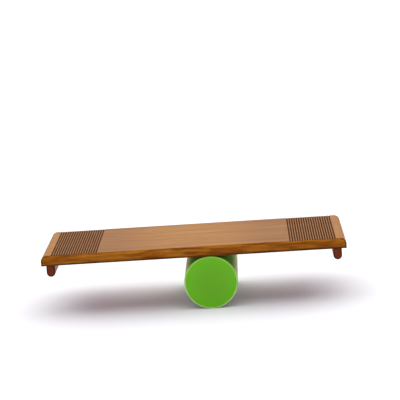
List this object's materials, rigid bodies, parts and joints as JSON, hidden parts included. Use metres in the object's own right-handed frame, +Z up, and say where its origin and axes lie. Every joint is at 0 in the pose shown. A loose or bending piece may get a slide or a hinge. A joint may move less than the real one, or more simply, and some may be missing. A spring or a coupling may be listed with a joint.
{
  "type": "rola bola",
  "caption": "Wooden balance board with grooved foot areas and stop cleats, riding on a loose capped plastic roller.",
  "frame": {"origin": "on the floor under the middle of the deck, at the bottom of the roller's tube", "axes": "+X along the deck, +Y across the deck away from the front edge, +Z up"},
  "size_m": [0.74, 0.28, 0.1563],
  "materials": {
    "deck_wood": "clear varnished",
    "cleat_wood": "dark stained and varnished",
    "screw_steel": "zinc plated",
    "roller_plastic": "glossy extruded",
    "cap_plastic": "satin moulded"
  },
  "bodies": {
    "deck": {"deck_board": "deck_wood", "stop_cleat_left": "cleat_wood", "stop_cleat_right": "cleat_wood", "cleat_screw_left_1": "screw_steel", "cleat_screw_left_2": "screw_steel", "cleat_screw_left_3": "screw_steel", "cleat_screw_left_4": "screw_steel", "cleat_screw_left_5": "screw_steel", "cleat_screw_right_1": "screw_steel", "cleat_screw_right_2": "screw_steel", "cleat_screw_right_3": "screw_steel", "cleat_screw_right_4": "screw_steel", "cleat_screw_right_5": "screw_steel"},
    "rear_cap": {"roller_rear_cap": "cap_plastic"},
    "roller": {"roller_tube": "roller_plastic", "roller_front_cap": "cap_plastic"}
  },
  "joints": [
    {"name": "roller_travel", "type": "slide", "parent": "deck", "child": "rear_cap", "axis": [1, 0, 0], "range_m": [-0.3265, 0.2505]},
    {"name": "roller_spin", "type": "hinge", "parent": "rear_cap", "child": "roller", "pos_m": [0.038, 0, 0.065], "axis": [0, 1, 0], "range_deg": [-221, 288]}
  ],
  "couplings": [
    {"joint": "roller_spin", "follows": "roller_travel", "rad_per_m": -15.385}
  ]
}
